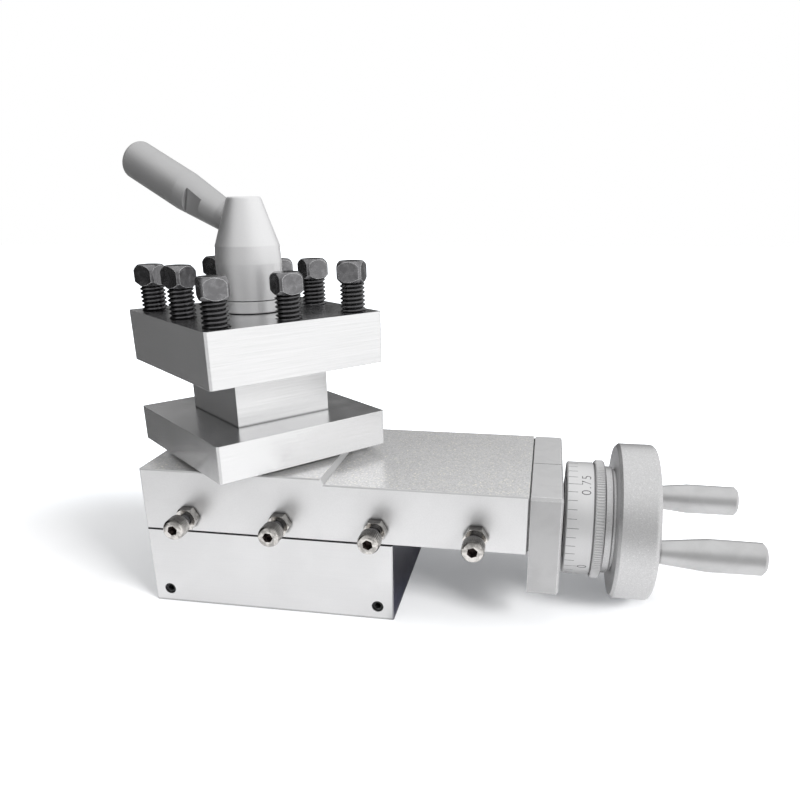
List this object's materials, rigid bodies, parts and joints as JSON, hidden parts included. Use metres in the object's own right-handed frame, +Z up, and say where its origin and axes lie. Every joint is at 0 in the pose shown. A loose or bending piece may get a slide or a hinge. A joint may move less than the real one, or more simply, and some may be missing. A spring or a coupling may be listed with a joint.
{
  "type": "lathe tool turret",
  "caption": "Lathe compound slide with handwheel, dial and dovetail base, carrying a four-way tool turret with clamp screws and a lock lever.",
  "frame": {"origin": "centre of the base block's underside", "axes": "+X along the slide's travel towards the handwheel, +Y to the back (the gib screws are at the front), +Z up"},
  "size_m": [0.2193, 0.0882, 0.1534],
  "materials": {
    "ground_aluminium": "finely machined, satin",
    "milled_aluminium": "milled, fine streaks",
    "blasted_aluminium": "bead blasted, satin",
    "turned_aluminium": "turned, satin",
    "polished_steel": "turned and polished",
    "plated_steel": "plated, slightly warm",
    "black_steel": "black oxide",
    "bearing_bronze": "machined bronze"
  },
  "bodies": {
    "base": {"base_block": "ground_aluminium", "base_set_screws": "black_steel", "feed_nut": "bearing_bronze", "feed_nut_screws": "black_steel"},
    "slide": {"top_slide": "ground_aluminium", "gib_strip": "plated_steel", "gib_screws": "plated_steel", "gib_lock_nuts": "plated_steel", "end_plate": "ground_aluminium", "end_plate_screws": "black_steel", "screw_bush": "bearing_bronze", "thrust_washer": "polished_steel", "post_stud": "polished_steel"},
    "feed_screw": {"feed_screw": "polished_steel", "wheel_key": "polished_steel", "handwheel": "blasted_aluminium", "wheel_nut": "plated_steel", "dial_spring": "plated_steel", "grip_front": "blasted_aluminium", "grip_rear": "blasted_aluminium"},
    "dial": {"dial": "turned_aluminium"},
    "turret": {"turret_block": "milled_aluminium", "post_washer": "polished_steel"},
    "lock_handle": {"lock_nut": "turned_aluminium", "lock_lever": "turned_aluminium"},
    "tool_screw_1": {"tool_screw_1": "black_steel"},
    "tool_screw_2": {"tool_screw_2": "black_steel"},
    "tool_screw_3": {"tool_screw_3": "black_steel"},
    "tool_screw_4": {"tool_screw_4": "black_steel"},
    "tool_screw_5": {"tool_screw_5": "black_steel"},
    "tool_screw_6": {"tool_screw_6": "black_steel"},
    "tool_screw_7": {"tool_screw_7": "black_steel"},
    "tool_screw_8": {"tool_screw_8": "black_steel"}
  },
  "joints": [
    {"name": "handwheel_turn", "type": "hinge", "parent": "slide", "child": "feed_screw", "pos_m": [0.1, 0, 0.02833], "axis": [1, 0, 0], "range_deg": [-13690, 10810]},
    {"name": "slide_travel", "type": "slide", "parent": "base", "child": "slide", "axis": [1, 0, 0], "range_m": [-0.038, 0.03]},
    {"name": "dial_set", "type": "hinge", "parent": "feed_screw", "child": "dial", "pos_m": [0.1045, 0, 0.02833], "axis": [1, 0, 0], "continuous": true},
    {"name": "turret_index", "type": "hinge", "parent": "slide", "child": "turret", "pos_m": [-0.01095, 0, 0.07], "axis": [0, 0, 1], "continuous": true},
    {"name": "lock_turn", "type": "hinge", "parent": "slide", "child": "lock_handle", "pos_m": [-0.01095, 0, 0.11], "axis": [0, 0, 1], "range_deg": [0, 120]},
    {"name": "tool_screw_1_clamp", "type": "slide", "parent": "turret", "child": "tool_screw_1", "axis": [0, 0, -1], "range_m": [0, 0.0073]},
    {"name": "tool_screw_2_clamp", "type": "slide", "parent": "turret", "child": "tool_screw_2", "axis": [0, 0, -1], "range_m": [0, 0.007]},
    {"name": "tool_screw_3_clamp", "type": "slide", "parent": "turret", "child": "tool_screw_3", "axis": [0, 0, -1], "range_m": [0, 0.00895]},
    {"name": "tool_screw_4_clamp", "type": "slide", "parent": "turret", "child": "tool_screw_4", "axis": [0, 0, -1], "range_m": [0, 0.00835]},
    {"name": "tool_screw_5_clamp", "type": "slide", "parent": "turret", "child": "tool_screw_5", "axis": [0, 0, -1], "range_m": [0, 0.007]},
    {"name": "tool_screw_6_clamp", "type": "slide", "parent": "turret", "child": "tool_screw_6", "axis": [0, 0, -1], "range_m": [0, 0.0092]},
    {"name": "tool_screw_7_clamp", "type": "slide", "parent": "turret", "child": "tool_screw_7", "axis": [0, 0, -1], "range_m": [0, 0.0078]},
    {"name": "tool_screw_8_clamp", "type": "slide", "parent": "turret", "child": "tool_screw_8", "axis": [0, 0, -1], "range_m": [0, 0.0089]}
  ],
  "couplings": [
    {"joint": "handwheel_turn", "follows": "slide_travel", "rad_per_m": 6283.2}
  ]
}
